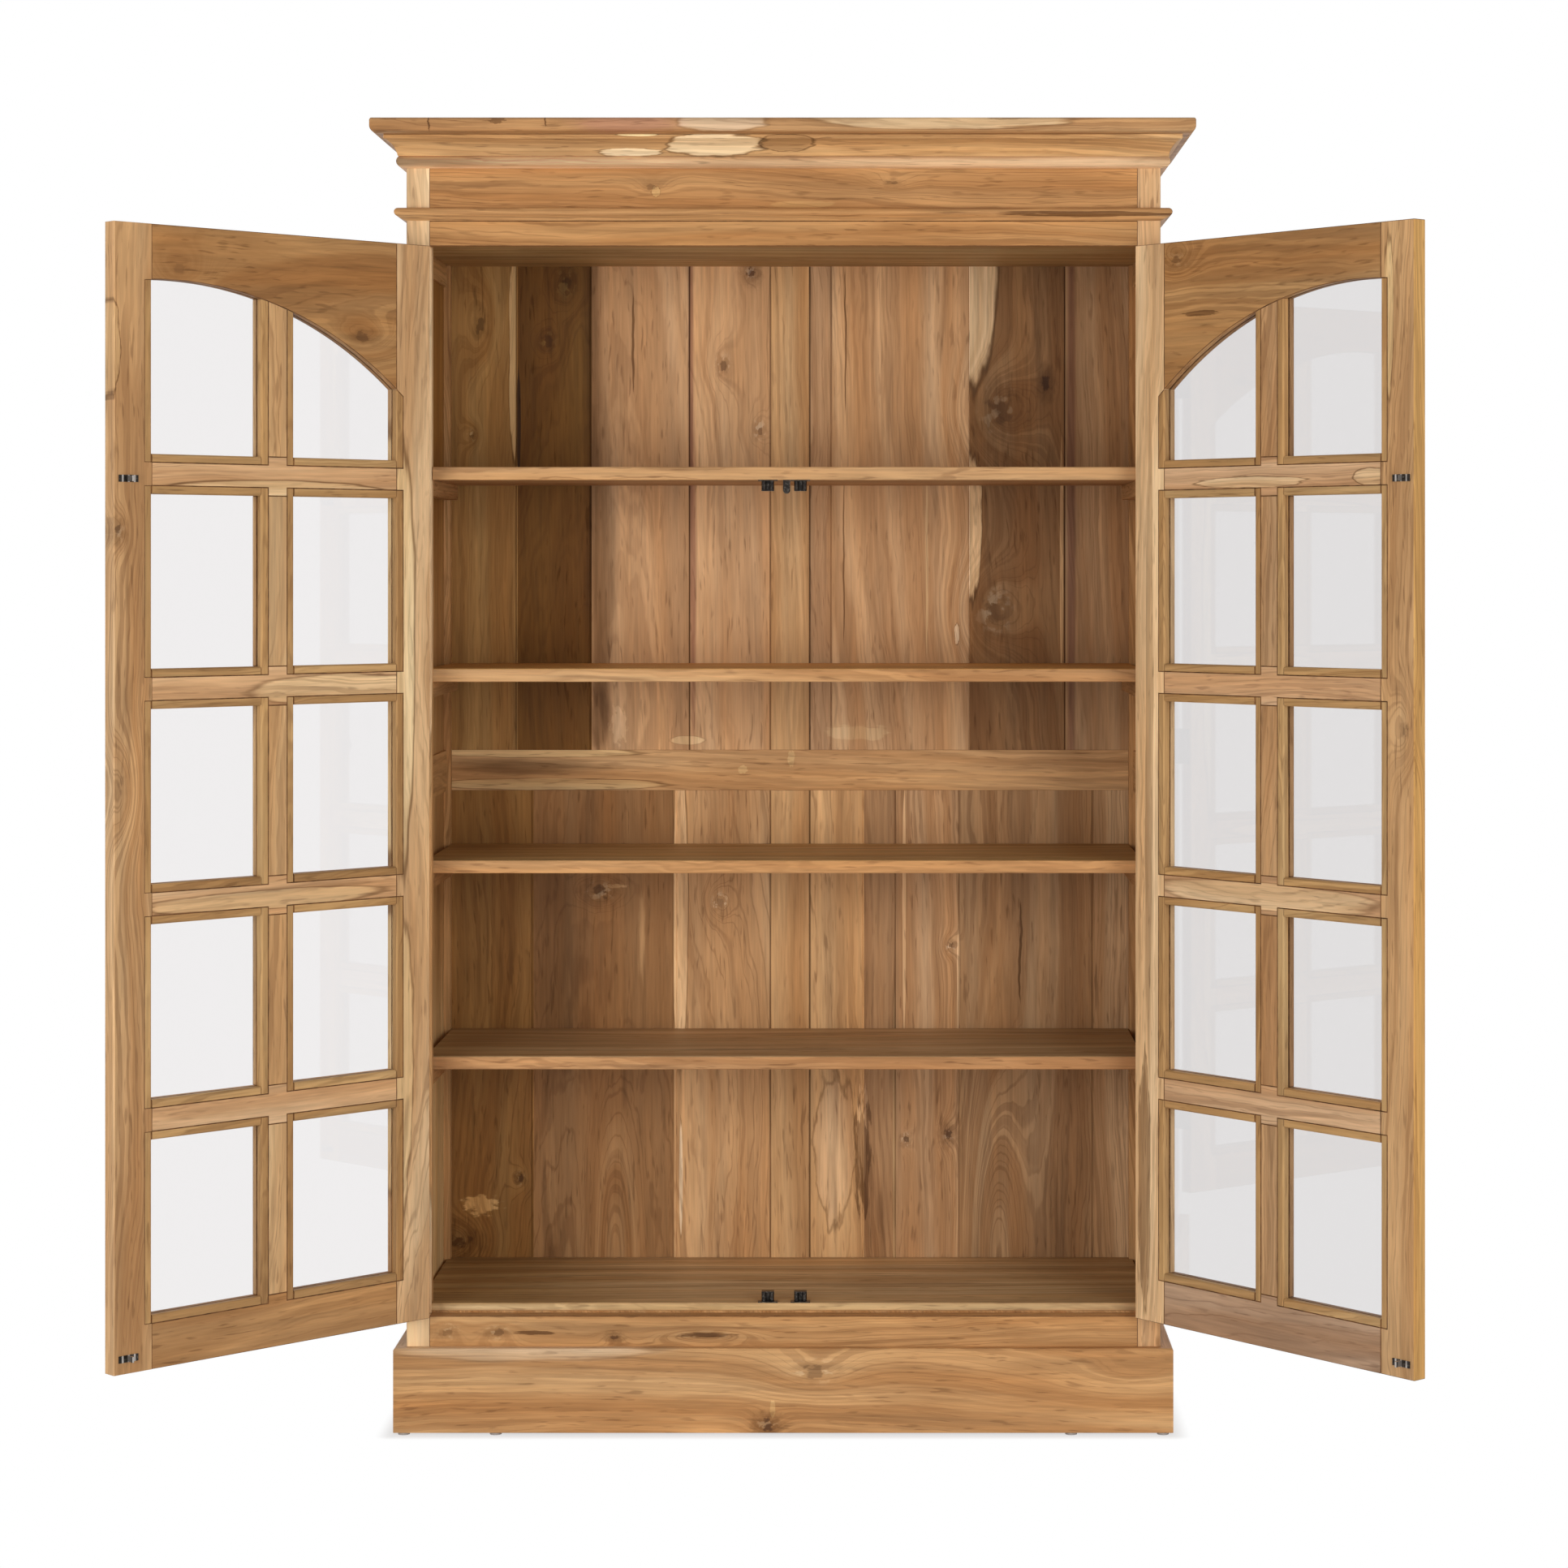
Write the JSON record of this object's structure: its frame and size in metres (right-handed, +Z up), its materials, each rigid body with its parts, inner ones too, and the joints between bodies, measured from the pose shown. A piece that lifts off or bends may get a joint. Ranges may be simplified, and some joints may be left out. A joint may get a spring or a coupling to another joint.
{
  "type": "display cabinet",
  "caption": "Tall solid wood display cabinet with arched glazed doors on side hinges, fixed shelves, a moulded cornice and a plinth.",
  "frame": {"origin": "on the floor, in the middle of the back of the case", "axes": "+X to the viewer's right, +Y out of the back, +Z up; the doors are at the front, towards -Y"},
  "size_m": [1.8666, 0.8413, 2],
  "materials": {
    "wood_case": "sanded and waxed teak",
    "wood_door": "sanded and waxed teak",
    "wood_shelf": "sanded and waxed teak",
    "wood_back": "sanded teak boards",
    "glass": "clear float glass",
    "bronzed_steel": "dark bronzed steel",
    "glide_plastic": "pale moulded plastic"
  },
  "bodies": {
    "case": {"back_boards_lower": "wood_back", "back_boards_upper": "wood_back", "back_frame": "wood_back", "bottom_rail": "wood_case", "catch_housings": "bronzed_steel", "ceiling_board": "wood_shelf", "cornice_bead": "wood_case", "cornice_cove": "wood_case", "floor_board": "wood_shelf", "frieze_bead": "wood_case", "frieze_board": "wood_case", "front_post_left": "wood_case", "front_post_right": "wood_case", "glides": "glide_plastic", "hinge_frame_leaves": "bronzed_steel", "plinth": "wood_case", "rear_post_left": "wood_case", "rear_post_right": "wood_case", "shelf_1": "wood_shelf", "shelf_2": "wood_shelf", "shelf_3": "wood_shelf", "shelf_4": "wood_shelf", "shelf_cleats": "wood_shelf", "side_panels": "wood_back", "side_rails_left": "wood_back", "side_rails_right": "wood_back", "stop_lug": "bronzed_steel", "top_board": "wood_case", "top_rail": "wood_case"},
    "left_door": {"left_door_arched_rail": "wood_door", "left_door_bottom_rail": "wood_door", "left_door_cross_rails": "wood_door", "left_door_glazing_beads": "wood_door", "left_door_hinge_leaves": "bronzed_steel", "left_door_hinge_stile": "wood_door", "left_door_knob": "bronzed_steel", "left_door_meeting_stile": "wood_door", "left_door_muntins": "wood_door", "left_door_panes": "glass", "left_door_strikes": "bronzed_steel"},
    "right_door": {"right_door_arched_rail": "wood_door", "right_door_bottom_rail": "wood_door", "right_door_cross_rails": "wood_door", "right_door_glazing_beads": "wood_door", "right_door_hinge_leaves": "bronzed_steel", "right_door_hinge_stile": "wood_door", "right_door_knob": "bronzed_steel", "right_door_meeting_stile": "wood_door", "right_door_muntins": "wood_door", "right_door_panes": "glass", "right_door_strikes": "bronzed_steel"},
    "roller_lower_inner_left": {"roller_lower_inner_left": "bronzed_steel"},
    "roller_lower_inner_right": {"roller_lower_inner_right": "bronzed_steel"},
    "roller_lower_outer_left": {"roller_lower_outer_left": "bronzed_steel"},
    "roller_lower_outer_right": {"roller_lower_outer_right": "bronzed_steel"},
    "roller_upper_inner_left": {"roller_upper_inner_left": "bronzed_steel"},
    "roller_upper_inner_right": {"roller_upper_inner_right": "bronzed_steel"},
    "roller_upper_outer_left": {"roller_upper_outer_left": "bronzed_steel"},
    "roller_upper_outer_right": {"roller_upper_outer_right": "bronzed_steel"}
  },
  "joints": [
    {"name": "left_door_swing", "type": "hinge", "parent": "case", "child": "left_door", "pos_m": [-0.55525, -0.404, 0.994], "axis": [0, 0, -1], "range_deg": [-135.7, 39.3]},
    {"name": "right_door_swing", "type": "hinge", "parent": "case", "child": "right_door", "pos_m": [0.55525, -0.404, 0.994], "axis": [0, 0, 1], "range_deg": [-130.7, 44.3]},
    {"name": "roller_lower_inner_left_spin", "type": "hinge", "parent": "case", "child": "roller_lower_inner_left", "pos_m": [-0.0188, -0.3665, 0.2015], "axis": [0, 0, 1], "continuous": true},
    {"name": "roller_lower_outer_left_spin", "type": "hinge", "parent": "case", "child": "roller_lower_outer_left", "pos_m": [-0.0312, -0.3665, 0.2015], "axis": [0, 0, 1], "continuous": true},
    {"name": "roller_upper_inner_left_spin", "type": "hinge", "parent": "case", "child": "roller_upper_inner_left", "pos_m": [-0.0188, -0.3665, 1.44531], "axis": [0, 0, 1], "continuous": true},
    {"name": "roller_upper_outer_left_spin", "type": "hinge", "parent": "case", "child": "roller_upper_outer_left", "pos_m": [-0.0312, -0.3665, 1.44531], "axis": [0, 0, 1], "continuous": true},
    {"name": "roller_lower_inner_right_spin", "type": "hinge", "parent": "case", "child": "roller_lower_inner_right", "pos_m": [0.0188, -0.3665, 0.2015], "axis": [0, 0, 1], "continuous": true},
    {"name": "roller_lower_outer_right_spin", "type": "hinge", "parent": "case", "child": "roller_lower_outer_right", "pos_m": [0.0312, -0.3665, 0.2015], "axis": [0, 0, 1], "continuous": true},
    {"name": "roller_upper_inner_right_spin", "type": "hinge", "parent": "case", "child": "roller_upper_inner_right", "pos_m": [0.0188, -0.3665, 1.44531], "axis": [0, 0, 1], "continuous": true},
    {"name": "roller_upper_outer_right_spin", "type": "hinge", "parent": "case", "child": "roller_upper_outer_right", "pos_m": [0.0312, -0.3665, 1.44531], "axis": [0, 0, 1], "continuous": true}
  ]
}
